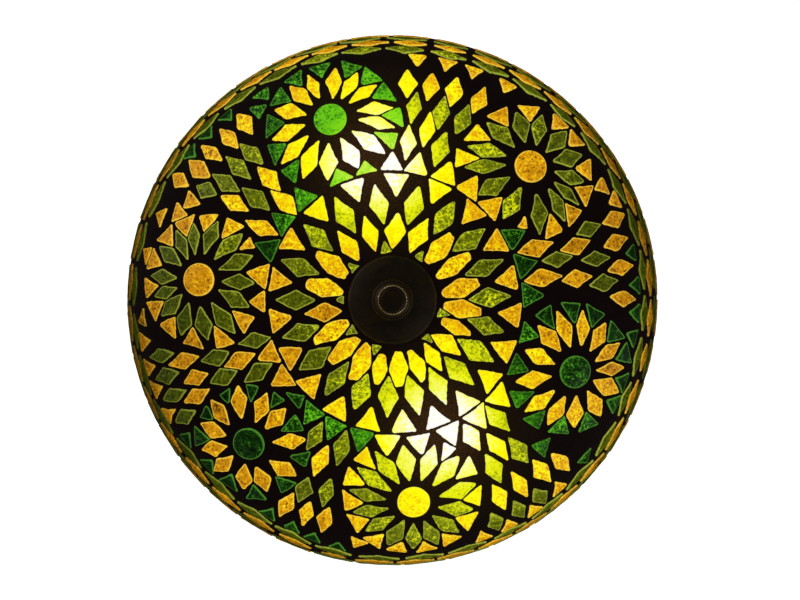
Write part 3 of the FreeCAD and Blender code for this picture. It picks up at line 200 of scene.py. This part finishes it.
def lit_glass(tint, gem=False):
    """Streaky sheet glass with dark seeds, glowing as the bulbs behind it light it."""
    finish = Finish(f"{tint}_gem_glass" if gem else f"{tint}_sheet_glass", IOR=1.5,
                    Specular_IOR_Level=0.15)
    plane = finish.put("Attribute", attribute_name="glass_map").outputs["Vector"]
    tone = finish.put("Attribute", attribute_name="tile_tone").outputs["Fac"]
    edge = finish.put("Attribute", attribute_name="tile_edge").outputs["Fac"]
    long_way = finish.put("Mapping", {"Vector": plane, "Scale": (1, 0.45, 1)}).outputs[0]
    streaks = finish.noise(long_way, 420, detail=6, roughness=0.78, distortion=0.6)
    mottle = finish.noise(plane, 720, detail=4, roughness=0.75)
    drift = finish.noise(plane, 110, detail=2)
    smears = finish.noise(plane, 260, detail=5, roughness=0.72)
    seeds = finish.put("TexVoronoi", {"Vector": plane, "Scale": 360.0, "Randomness": 1.0}).outputs["Distance"]
    texture = finish.math("MULTIPLY", finish.spread(streaks, 0.1, 1.8), finish.spread(mottle, 0.1, 1.8))
    texture = finish.math("MULTIPLY", texture, finish.spread(drift, 0.84, 1.16))
    # dark seeds, and specks of grout left on the glass
    texture = finish.math("MULTIPLY", texture, finish.spread(seeds, 0.15, 1.0, 0.14, 0.27))
    texture = finish.math("MULTIPLY", texture, finish.spread(smears, 1.0, 0.1, 0.58, 0.65))
    # tone and texture are washed out where the glass is brightest
    lit = finish.lamplight()
    kept = finish.spread(lit, 1.0, 0.12, 0.35, 0.8)
    own_light = finish.math("MULTIPLY", tone, texture)
    varied = finish.math("MULTIPLY", finish.math("SUBTRACT", own_light, 1.0), kept)
    light = finish.math("MULTIPLY", lit, finish.math("ADD", 1.0, varied))
    # only the lamp itself, not a bright streak or a pale piece, burns the glass out to white
    light = finish.math("MINIMUM", light, finish.math("MAXIMUM", lit, STREAK_LIMIT))
    shown = finish.math("DIVIDE", light, BRIGHTEST)
    clear = finish.ramp(shown, [(level / BRIGHTEST, linear(*screen)) for level, screen in LIT[tint]])
    # painted glints: a band along the broken edges, and on the brightest streaks
    edge_glint = finish.math("MULTIPLY", edge, finish.spread(mottle, 0.4, 0.9))
    streak_glint = finish.spread(streaks, 0.0, 0.5, 0.56, 0.74)
    # the painted glints fade where the glass is brightest, and where little light reaches them
    pale = finish.math("MULTIPLY", finish.math("MAXIMUM", edge_glint, streak_glint),
                       finish.math("MULTIPLY", kept, finish.spread(lit, 0.06, 1.0, 0.06, 0.2)))
    # the painted glints are mixed into the glass's light; the inputs 6 and 7 and the output 2 of a Mix node
    # are its colours
    colour = finish.put("Mix", {0: pale, 6: clear, 7: GLINT_COLOUR[tint]}, data_type="RGBA").outputs[2]
    dark_body = tuple(c * 0.6 for c in BODY[tint][:3]) + (1,)
    own = finish.ramp(texture, [(0.5, dark_body), (1.0, BODY[tint])])
    finish.set(Base_Color=own, Emission_Color=colour, Emission_Strength=1.0,
               Roughness=finish.spread(mottle, 0.2, 0.38))
    finish.relief(finish.math("ADD", streaks, finish.math("MULTIPLY", mottle, 0.5)), 0.35 * MM, 0.5)
    finish.material.cycles.emission_sampling = "NONE"
    return finish.material


def grout_finish():
    """Dry dark grout with sand grain, and a painted warm glow of lamplight where the bulbs are near."""
    finish = Finish("dark_grout", Specular_IOR_Level=0.12)
    place = finish.place()
    grain = finish.noise(place, 1400, detail=4, roughness=0.65)
    cloud = finish.noise(place, 70, detail=3)
    colour = finish.ramp(finish.spread(cloud, 0, 1), [(0, linear(6, 4, 3)), (1, linear(14, 9, 6))])
    # painted glow of the lamp's light on the grout, brightest nearest the bulbs
    glow = finish.ramp(finish.math("MULTIPLY", finish.lamplight(), finish.spread(grain, 0.75, 1.1)),
                       [(0.2, linear(8, 3, 3)), (0.5, linear(10, 5, 4)), (0.75, linear(26, 16, 6)),
                        (1.0, linear(66, 42, 18))])
    finish.set(Base_Color=colour, Emission_Color=glow, Emission_Strength=1.0,
               Roughness=finish.spread(grain, 0.7, 0.95))
    finish.relief(grain, 0.3 * MM, 0.6)
    finish.material.cycles.emission_sampling = "NONE"
    return finish.material


# ---------------------------------------------------------------- metals and fittings
def metal(name, bright, dull, roughness, scale, relief=0.05, metallic=1.0, specular=0.5):
    """Worked metal: a clean tone and a dull one in patches, fine grain, uneven polish."""
    finish = Finish(name, Metallic=metallic, Specular_IOR_Level=specular)
    place = finish.place()
    patches = finish.noise(place, scale, detail=5, roughness=0.62, distortion=0.4)
    fine = finish.noise(place, scale * 28, detail=3, roughness=0.6)
    finish.set(Base_Color=finish.ramp(finish.spread(patches, 0, 1), [(0.15, dull), (0.75, bright)]),
               Roughness=finish.math("ADD", finish.spread(patches, roughness[1], roughness[0]),
                                     finish.spread(fine, -0.05, 0.05)))
    finish.relief(fine, relief * MM, 0.5)
    return finish.material


def moulded(name, tone, shade, roughness, scale, relief=0.1, **constants):
    """Rubber, felt, porcelain or plastic: two close tones and a fine relief."""
    finish = Finish(name, **constants)
    grain = finish.noise(finish.place(), scale, detail=4, roughness=0.6)
    finish.set(Base_Color=finish.ramp(finish.spread(grain, 0, 1), [(0, shade), (1, tone)]),
               Roughness=finish.spread(grain, roughness[0], roughness[1]))
    finish.relief(grain, relief * MM, 0.6)
    return finish.material


def clear_glass():
    """Pressed clear glass, slightly rippled."""
    finish = Finish("clear_dome_glass", IOR=1.48, Transmission_Weight=1.0, Base_Color=linear(248, 251, 246))
    ripple = finish.noise(finish.place(), 40, detail=2)
    finish.set(Roughness=finish.spread(ripple, 0.01, 0.05))
    finish.relief(ripple, 0.6 * MM, 0.3)
    return finish.material


def glowing(name, colour, strength):
    """Frosted glass or wire that gives its own light."""
    finish = Finish(name, Roughness=0.35, Base_Color=linear(240, 232, 214), Emission_Strength=strength)
    cloud = finish.noise(finish.place(), 90, detail=2)
    dimmer = tuple(c * 0.8 for c in colour[:3]) + (1,)
    finish.set(Emission_Color=finish.ramp(finish.spread(cloud, 0, 1), [(0, dimmer), (1, colour)]))
    return finish.material


FINISHES = {
    "aged_brass": metal("aged_brass", linear(176, 138, 74), linear(92, 64, 34), (0.24, 0.46), 45),
    "dark_bronze": metal("dark_bronze", linear(66, 50, 24), linear(42, 31, 14), (0.4, 0.6), 70,
                         metallic=0.2, specular=0.25),
    "knob_rim": metal("knob_rim", linear(236, 214, 180), linear(150, 112, 80), (0.08, 0.2), 300),
    "rim_bronze": metal("rim_bronze", linear(82, 62, 32), linear(44, 32, 18), (0.35, 0.55), 55),
    "brass": metal("brass", linear(214, 176, 96), linear(158, 118, 58), (0.16, 0.32), 120),
    "socket_brass": metal("socket_brass", linear(204, 168, 96), linear(140, 106, 56), (0.2, 0.38), 90),
    "steel_pipe": metal("zinc_steel", linear(176, 176, 172), linear(120, 120, 118), (0.25, 0.42), 110),
    "ballast_iron": metal("cast_iron", linear(70, 68, 66), linear(44, 42, 40), (0.55, 0.8), 160, relief=0.3),
    "bulb_cap_metal": metal("bulb_cap_metal", linear(196, 186, 160), linear(150, 140, 116), (0.2, 0.34), 130),
    "felt": moulded("green_felt", linear(40, 56, 44), linear(22, 34, 26), (0.95, 1.0), 900, 0.4,
                    Specular_IOR_Level=0.1, Sheen_Weight=0.4),
    "black_rubber": moulded("black_rubber", linear(38, 37, 36), linear(24, 23, 23), (0.5, 0.7), 420),
    "lead_sleeve": moulded("lead_sleeve", linear(178, 142, 70), linear(150, 114, 50), (0.45, 0.6), 500),
    "porcelain": moulded("porcelain", linear(236, 232, 222), linear(224, 218, 206), (0.12, 0.22), 60, 0.05),
    "clear_glass": clear_glass(),
    "grout": grout_finish(),
    "bulb_glass": glowing("frosted_bulb", (1.0, 0.80, 0.50, 1), 9.0),
    "filament": glowing("hot_filament", (1.0, 0.62, 0.25, 1), 30.0),
}
for tint in LIT:
    FINISHES[f"{tint}_glass"] = lit_glass(tint)
    FINISHES[f"{tint}_gem"] = lit_glass(tint, gem=True)

SLOT_OF = {part["node"]: part["material_slot"] for part in frame["record"]["subparts"]}


def dress(piece, finish):
    """Gives a piece one finish all over."""
    piece.data.materials.clear()
    piece.data.materials.append(finish)


for name, node in frame["nodes"].items():
    finish = FINISHES[SLOT_OF[name]]
    if name == "rim_band":
        finish = FINISHES["rim_bronze"]
    for place in node.material_slots:
        place.material = finish
    if not node.material_slots:
        node.data.materials.append(finish)


# ---------------------------------------------------------------- pieces
def new_piece(name, vertices, faces, body, finish):
    """A smooth-shaded piece of the scene, with its finish, that rides on a body."""
    mesh = bpy.data.meshes.new(name)
    mesh.from_pydata(vertices, [], faces)
    mesh.validate()
    mesh.polygons.foreach_set("use_smooth", [True] * len(mesh.polygons))
    piece = bpy.data.objects.new(name, mesh)
    bpy.context.scene.collection.objects.link(piece)
    dress(piece, finish)
    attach(piece, body)
    return piece


def islands(shape):
    """The vertices of a bmesh in groups, one for each closed solid."""
    seen = set()
    for first in shape.verts:
        if first.index in seen:
            continue
        island, waiting = [], [first]
        seen.add(first.index)
        while waiting:
            vertex = waiting.pop()
            island.append(vertex)
            for edge in vertex.link_edges:
                other = edge.other_vert(vertex)
                if other.index not in seen:
                    seen.add(other.index)
                    waiting.append(other)
        yield island


def border(top):
    """Corners round a set of faces, in order."""
    follow = {}
    for face in top:
        for loop in face.loops:
            if sum(neighbour in top for neighbour in loop.edge.link_faces) == 1:
                follow[loop.vert] = loop.link_loop_next.vert
    start = min(follow, key=lambda vertex: vertex.index)
    corners, vertex = [start.co.copy()], follow[start]
    while vertex is not start:
        corners.append(vertex.co.copy())
        vertex = follow[vertex]
    return corners


def slab_faces(node):
    """The outer face of each glass slab of a CAD node: its corners in order, and the way it faces."""
    shape = bmesh.new()
    shape.from_mesh(frame["nodes"][node].data)
    bmesh.ops.remove_doubles(shape, verts=shape.verts, dist=0.001 * MM)
    shape.verts.index_update()
    slabs = []
    for island in islands(shape):
        middle = sum((vertex.co for vertex in island), Vector()) / len(island)
        # each face once and in a fixed order, so that equally large ones give the same result each run
        faces = list(dict.fromkeys(face for vertex in island for face in vertex.link_faces))
        facing = max(faces, key=lambda face: face.calc_area()).normal.copy()
        if facing.dot(middle - INSIDE) < 0:
            facing.negate()
        slabs.append((border({face for face in faces if face.normal.dot(facing) > 0.99}), facing))
    shape.free()
    return slabs


# Outlines with more corners than this are round gems, which are ground and not nibbled
GEM_CORNERS = 12


def simplified(points, least=0.25 * MM):
    """Flat outline without points that lie on a straight side; a gem keeps them all."""
    kept = []
    for i, here in enumerate(points):
        before, after = points[i - 1], points[(i + 1) % len(points)]
        along = (after - before).normalized()
        off_line = abs(along.x * (here - before).y - along.y * (here - before).x)
        if off_line > least or len(points) > GEM_CORNERS:
            kept.append(here)
    return kept


def ground_round(corners, chance):
    """Outline of a gem, slightly out of round."""
    phase = chance.uniform(0, 9)
    points = []
    for i, corner in enumerate(corners):
        turn = i / len(corners) * math.tau
        wobble = noise.noise(Vector((math.cos(turn) * 2 + phase, math.sin(turn) * 2, phase)))
        points.append(corner * (1 + 0.014 * wobble))
    return points


# Broken corners, in millimetres: size of most and of the big ones, and the share of big ones
NIP = (0.25, 0.7)
BIG_NIP = (0.8, 1.8)
BIG_NIPS = 0.2
# A side is nibbled every so far; how far it bows in or out and each bite strays, in millimetres
BITE = 1.5 * MM
BOW = (-0.3, 0.26)
STRAY = (-0.17, 0.15)
# A broken corner takes at most this share of a side
SIDE_SHARE = 0.3


def hand_cut(corners, chance):
    """Outline of a hand-cut piece: nibbled, slightly bowed sides and broken corners."""
    if len(corners) > GEM_CORNERS:
        return ground_round(corners, chance)
    points = []
    count = len(corners)
    nips = [chance.uniform(*(NIP if chance.random() > BIG_NIPS else BIG_NIP)) * MM for _ in corners]
    for i, here in enumerate(corners):
        before, after = corners[i - 1], corners[(i + 1) % count]
        into, away = here - before, after - here
        first = here - into.normalized() * min(nips[i], into.length * SIDE_SHARE)
        last = here + away.normalized() * min(nips[i], away.length * SIDE_SHARE)
        points += [first, (first + last + here) / 3, last]
        end = after - away.normalized() * min(nips[(i + 1) % count], away.length * SIDE_SHARE)
        run = end - last
        across = Vector((run.y, -run.x)).normalized()
        steps = max(1, round(run.length / BITE))
        bow = chance.uniform(*BOW) * MM
        for k in range(1, steps):
            t = k / steps
            shift = bow * 4 * t * (1 - t) + chance.uniform(*STRAY) * MM
            points.append(last + run * t + across * shift)
    return points


def inset(points, distances):
    """The outline moved in, each point by its own distance."""
    moved = []
    for i, (here, distance) in enumerate(zip(points, distances)):
        along = (points[(i + 1) % len(points)] - points[i - 1]).normalized()
        moved.append(here + Vector((-along.y, along.x)) * distance)
    return moved


class Slab:
    """One glass slab of the CAD model: its outer face, and the random draws that are its own."""

    def __init__(self, number, corners, facing):
        self.number, self.corners, self.facing = number, corners, facing
        self.middle = sum(corners, Vector()) / len(corners)
        seed = round(self.middle.x * 1e5) * 7919 + round(self.middle.y * 1e5)
        self.chance = random.Random(seed)
        guide = Vector((0, 0, 1)) if abs(facing.z) < 0.9 else Vector((1, 0, 0))
        self.across = facing.cross(guide).normalized()
        self.upward = facing.cross(self.across)

    def flat(self):
        """The corners in the plane of the face, from its middle."""
        offsets = [corner - self.middle for corner in self.corners]
        return [Vector((offset.dot(self.across), offset.dot(self.upward))) for offset in offsets]

    def lifted(self, point, height):
        """Where a flat point is, at a height over the face."""
        return self.middle + self.across * point.x + self.upward * point.y + self.facing * height


# The pieces are cut to fill their places: they grow until this much joint is left between them,
# by a limited distance, and not under the heat cap
JOINT = 0.85 * MM
GROWTH = 0.34 * MM
CAP_REACH = 27 * MM
SAMPLE_STEP = 0.8 * MM


class Layout:
    """All the slabs, by node, with points along their outlines to measure the joints by."""

    def __init__(self, nodes):
        self.slabs = {node: [] for node in nodes}
        points = []
        number = 0
        for node in nodes:
            for corners, facing in slab_faces(node):
                self.slabs[node].append(Slab(number, corners, facing))
                for start, end in zip(corners, corners[1:] + corners[:1]):
                    steps = max(1, round((end - start).length / SAMPLE_STEP))
                    points.extend((start.lerp(end, k / steps), number) for k in range(steps))
                number += 1
        self.owners = [owner for _, owner in points]
        self.tree = kdtree.KDTree(len(points))
        for i, (point, _) in enumerate(points):
            self.tree.insert(point, i)
        self.tree.balance()

    def room(self, point, number):
        """How far a slab's outline may move out at a point."""
        if math.hypot(point.x, point.y) < CAP_REACH:
            return 0.0
        reach = JOINT + 2 * GROWTH
        near = self.tree.find_range(point, reach)
        gap = min((far for _, i, far in near if self.owners[i] != number), default=reach)
        return max(0.0, min(GROWTH, (gap - JOINT) / 2))

    def grown(self, outline, slab):
        """The outline moved out into its joints, evened out between neighbouring points."""
        rooms = [self.room(slab.lifted(point, 0.0), slab.number) for point in outline]
        count = len(rooms)
        return inset(outline, [-(rooms[i - 1] + 2 * rooms[i] + rooms[(i + 1) % count]) / 4
                               for i in range(count)])


# Rings of a slab from its back to its face: (height over the face, how far in), in millimetres
SLAB_RINGS = ((-3.46, 0.12), (-0.6, 0.0), (-0.2, 0.1), (-0.04, 0.34))
# The face inside them: its first ring is this far from the broken edge, the rest are shares of the way out
# the painted edge glint covers the sides of a piece and fades out across this band
LIT_EDGE = 0.45 * MM
FACE_RINGS = (0.66, 0.4, 0.16)
GEM_RISE = 0.9 * MM
# Waves of the face, and how far tones stray between pieces
WAVE_HEIGHT = 0.16 * MM
WAVES = 260
TONE_STRAY = 0.17


def ring_stack(outline):
    """Rings of a piece from its back to the middle of its face: (points, height, 1 on the edge)."""
    rings = [(inset(outline, [distance * MM] * len(outline)), height * MM, 1.0)
             for height, distance in SLAB_RINGS]
    last = rings[-1][0]
    for share in (1 - LIT_EDGE / min(point.length for point in last),) + FACE_RINGS:
        rings.append(([point * share for point in last], 0.0, 0.0))
    return rings


def cut_glass(node, tint, gem, layout):
    """Rebuilds each slab of a CAD node as a hand-cut piece with broken edges and a wavy face."""
    vertices, faces, tones, edges, planes = [], [], [], [], []
    for slab in layout.slabs[node]:
        chance = slab.chance
        outline = hand_cut(simplified(slab.flat()), chance)
        if not gem:
            outline = layout.grown(outline, slab)
        turned = chance.uniform(0, math.tau)
        spot = Vector((chance.uniform(0, 9), chance.uniform(0, 9), chance.uniform(0, 9)))
        tone = math.exp(chance.gauss(0, TONE_STRAY))
        rings = ring_stack(outline)
        reach = max(point.length for point in rings[len(SLAB_RINGS) - 1][0])
        base, count = len(vertices), len(outline)
        for level, (points, height, edge) in enumerate(rings):
            for p in points:
                rise = height
                if level >= len(SLAB_RINGS):
                    rise += WAVE_HEIGHT * noise.noise(spot + Vector((p.x, p.y, 0)) * WAVES)
                if gem and level >= len(SLAB_RINGS) - 1:
                    rise += GEM_RISE * (1 - (p.length / reach) ** 2)
                vertices.append(slab.lifted(p, rise))
                edges.append(edge)
                x = p.x * math.cos(turned) - p.y * math.sin(turned)
                y = p.x * math.sin(turned) + p.y * math.cos(turned)
                planes.append((spot.x + x, spot.y + y, spot.z + rise))
        tip = len(vertices)
        vertices.append(slab.middle + slab.facing * (GEM_RISE if gem else 0.0))
        edges.append(0.0)
        planes.append(tuple(spot))
        tones += [tone] * (tip + 1 - base)
        for ring in range(len(rings) - 1):
            a, b = base + ring * count, base + (ring + 1) * count
            faces += [(a + i, a + (i + 1) % count, b + (i + 1) % count, b + i) for i in range(count)]
        a = base + (len(rings) - 1) * count
        faces += [(a + i, a + (i + 1) % count, tip) for i in range(count)]
        faces.append(tuple(base + i for i in reversed(range(count))))
    piece = new_piece(f"cut_{node}", vertices, faces, "shade",
                      FINISHES[f"{tint}_gem" if gem else f"{tint}_glass"])
    for title, kind, key, values in (("tile_tone", "FLOAT", "value", tones),
                                     ("tile_edge", "FLOAT", "value", edges),
                                     ("glass_map", "FLOAT_VECTOR", "vector", planes)):
        attribute = piece.data.attributes.new(title, kind, "POINT")
        attribute.data.foreach_set(key, np.array(values, np.float32).ravel())
    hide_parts(node)
    return piece


tile_nodes = sorted(name for name in frame["nodes"] if name.split("_")[0] in LIT)
layout = Layout(tile_nodes)
glass_pieces = [cut_glass(name, name.split("_")[0], "gems" in name, layout) for name in tile_nodes]


# ---------------------------------------------------------------- grout
BED_ROWS = 150
BED_COLUMNS = 640
AROUND = [(math.cos(math.tau * k / BED_COLUMNS), math.sin(math.tau * k / BED_COLUMNS))
          for k in range(BED_COLUMNS)]
# How far the grout lies under the face of the glass, how high and how far out it climbs at the foot of
# each piece, and how far its back lies behind the face of the CAD bed
GROUT_SINK = 0.7 * MM
CLIMB = 0.4 * MM
CLIMB_REACH = 0.9 * MM
BACK_SINK = BED_THICKNESS - 0.1 * MM


def bed_profile():
    """(radius, height, outward radius, outward height) down the face of the CAD bed, evenly spaced."""
    bed = BVHTree.FromObject(frame["nodes"]["grout_bed"], bpy.context.evaluated_depsgraph_get())
    centre = Vector((0, 0, BED_LOW.z))
    found = []
    for slope in np.radians(np.linspace(8, 90, 400)):
        ray = Vector((math.sin(slope), 0, math.cos(slope)))
        # a hair off the seam of the mesh
        hit = bed.ray_cast(centre + ray * 0.3 + Vector((0, 0.01 * MM, 0.01 * MM)), -ray)[0]
        if hit:
            found.append((math.hypot(hit.x, hit.y), hit.z))
    found = np.array(found)
    length = np.r_[0, np.hypot(*np.diff(found, axis=0).T).cumsum()]
    even = np.linspace(0, length[-1], BED_ROWS)
    r, z = np.interp(even, length, found[:, 0]), np.interp(even, length, found[:, 1])
    smooth = np.ones(5) / 5
    dr, dz = (np.convolve(np.pad(np.gradient(v), 2, mode="edge"), smooth, "valid") for v in (r, z))
    size = np.hypot(dr, dz)
    return list(zip(r, z, -dz / size, dr / size))


def glass_edges():
    """Tree of the points on the cut edges of the glass."""
    marks = []
    for piece in glass_pieces:
        edge = piece.data.attributes["tile_edge"].data
        marks += [v.co for v in piece.data.vertices if edge[v.index].value > 0.9]
    near = kdtree.KDTree(len(marks))
    for i, mark in enumerate(marks):
        near.insert(mark, i)
    near.balance()
    return near


def quads(rows, other_row, flip):
    """Faces between each row of points in rows and the one that is other_row rows further on."""
    faces = []
    for row in rows:
        for k in range(BED_COLUMNS):
            a, b = row * BED_COLUMNS + k, row * BED_COLUMNS + (k + 1) % BED_COLUMNS
            quad = (a, a + other_row * BED_COLUMNS, b + other_row * BED_COLUMNS, b)
            faces.append(tuple(reversed(quad)) if flip else quad)
    return faces


def make_grout():
    """Grout pressed between the glass: it climbs a little at each piece and sinks between them."""
    near = glass_edges()
    profile = bed_profile()
    front, back = [], []
    for r, z, out_r, out_z in profile:
        for c, s in AROUND:
            foot = Vector((r * c, r * s, z))
            facing = Vector((out_r * c, out_r * s, out_z))
            outer = foot + facing * (TILE_THICKNESS - GROUT_SINK)
            gap = near.find(outer)[2]
            climb = CLIMB * math.exp(-(gap / CLIMB_REACH) ** 2)
            rough = 0.22 * MM * noise.noise(foot * 160) + 0.09 * MM * noise.noise(foot * 700)
            front.append(outer + facing * (climb + rough))
            inner = r - out_r * BACK_SINK
            back.append(Vector((inner * c, inner * s, z - out_z * BACK_SINK)))
    rows = len(profile)
    faces = quads(range(rows - 1), 1, False) + quads(range(rows, 2 * rows - 1), 1, True)
    faces += quads([0], rows, True) + quads([rows - 1], rows, False)
    piece = new_piece("pressed_grout", front + back, faces, "shade", FINISHES["grout"])
    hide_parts("grout_bed")


make_grout()


# ---------------------------------------------------------------- knob rim
LOBE_DEPTH = 0.16


def make_bead_ring(name, radius, height, wire, count):
    """Polished rim of the knob, softly lobed between its notches."""
    around, across = count * 8, 14
    vertices = []
    for i in range(around):
        turn = math.tau * i / around
        lobe = wire * (1 - LOBE_DEPTH + LOBE_DEPTH * math.cos(count * turn))
        for k in range(across):
            roll = math.tau * k / across
            r = radius + lobe * math.cos(roll)
            vertices.append((r * math.cos(turn), r * math.sin(turn), height + lobe * math.sin(roll)))
    faces = []
    for i in range(around):
        here, further = i * across, (i + 1) % around * across
        for k in range(across):
            after = (k + 1) % across
            faces.append((here + k, further + k, further + after, here + after))
    new_piece(name, vertices, faces, "finial", FINISHES["knob_rim"])


knob_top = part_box("finial_knob")[1].z
make_bead_ring("knob_rim", 6.9 * MM, knob_top - 0.65 * MM, 0.62 * MM, 30)


# ---------------------------------------------------------------- stage, light, camera
def make_floor():
    """Plain white floor, evenly bright."""
    reach = 4.0
    mesh = bpy.data.meshes.new("floor")
    mesh.from_pydata([(-reach, -reach, 0), (reach, -reach, 0), (reach, reach, 0), (-reach, reach, 0)],
                     [], [(0, 1, 2, 3)])
    floor = bpy.data.objects.new("floor", mesh)
    bpy.context.scene.collection.objects.link(floor)
    finish = Finish("pale_floor", Base_Color=(0.9, 0.9, 0.9, 1), Roughness=0.9, Specular_IOR_Level=0.1,
                    Emission_Color=(1, 1, 1, 1), Emission_Strength=1.0)
    dress(floor, finish.material)
    floor.visible_glossy = False
    floor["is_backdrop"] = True


def soft_light(name, azimuth, elevation, distance, size, power):
    """Square softbox aimed at the shade, from an azimuth and elevation in degrees."""
    light = bpy.data.lights.new(name, "AREA")
    light.shape = "SQUARE"
    light.size = size
    light.energy = power
    lamp = bpy.data.objects.new(name, light)
    bpy.context.scene.collection.objects.link(lamp)
    turn, rise = math.radians(azimuth), math.radians(elevation)
    aim = Vector((0, 0, 0.25))
    away = Vector((math.cos(turn) * math.cos(rise), math.sin(turn) * math.cos(rise), math.sin(rise)))
    lamp.location = aim + away * distance
    lamp.rotation_euler = away.to_track_quat("Z", "Y").to_euler()


def make_world():
    """Pale studio: white to the camera. Its light is brightest near the horizon; none comes from below."""
    world = bpy.data.worlds.new("studio")
    bpy.context.scene.world = world
    world.use_nodes = True
    nodes, links = world.node_tree.nodes, world.node_tree.links
    nodes.clear()
    out = nodes.new("ShaderNodeOutputWorld")
    mix = nodes.new("ShaderNodeMixShader")
    seen = nodes.new("ShaderNodeBackground")
    seen.inputs["Color"].default_value = (1, 1, 1, 1)
    cast = nodes.new("ShaderNodeBackground")
    way = nodes.new("ShaderNodeTexCoord")
    split = nodes.new("ShaderNodeSeparateXYZ")
    strength = nodes.new("ShaderNodeMapRange")
    for socket, value in (("From Min", 0.0), ("From Max", 0.7), ("To Min", 0.4), ("To Max", 0.04)):
        strength.inputs[socket].default_value = value
    above = nodes.new("ShaderNodeMath")
    above.operation = "GREATER_THAN"
    above.inputs[1].default_value = 0.0
    power = nodes.new("ShaderNodeMath")
    power.operation = "MULTIPLY"
    path = nodes.new("ShaderNodeLightPath")
    for source, target in ((way.outputs["Generated"], split.inputs[0]),
                           (split.outputs["Z"], strength.inputs["Value"]),
                           (split.outputs["Z"], above.inputs[0]),
                           (strength.outputs[0], power.inputs[0]),
                           (above.outputs[0], power.inputs[1]),
                           (power.outputs[0], cast.inputs["Strength"]),
                           (path.outputs["Is Camera Ray"], mix.inputs[0]),
                           (cast.outputs[0], mix.inputs[1]),
                           (seen.outputs[0], mix.inputs[2]),
                           (mix.outputs[0], out.inputs["Surface"])):
        links.new(source, target)


# Camera straight above: its height over the shade's widest line, its sensor width in millimetres, its
# focal length as a share of that, and how far the picture is shifted sideways
CAMERA_HEIGHT = 0.86
SENSOR = 36.0
FOCAL_SHARE = 1.8825
SIDE_SHIFT = 0.0094


def make_camera():
    camera = bpy.data.cameras.new("camera")
    camera.sensor_width = SENSOR
    camera.lens = SENSOR * FOCAL_SHARE
    camera.shift_x = SIDE_SHIFT
    camera.clip_start, camera.clip_end = 0.05, 20
    holder = bpy.data.objects.new("camera", camera)
    holder.location = (0, 0, EQUATOR + CAMERA_HEIGHT)
    bpy.context.scene.collection.objects.link(holder)
    bpy.context.scene.camera = holder


make_floor()
soft_light("soft_left", 150, 20, 1.9, 1.4, 5)
soft_light("soft_right", -35, 24, 1.9, 1.4, 4)
make_world()
make_camera()
bpy.context.scene.view_settings.view_transform = "Standard"

low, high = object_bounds()
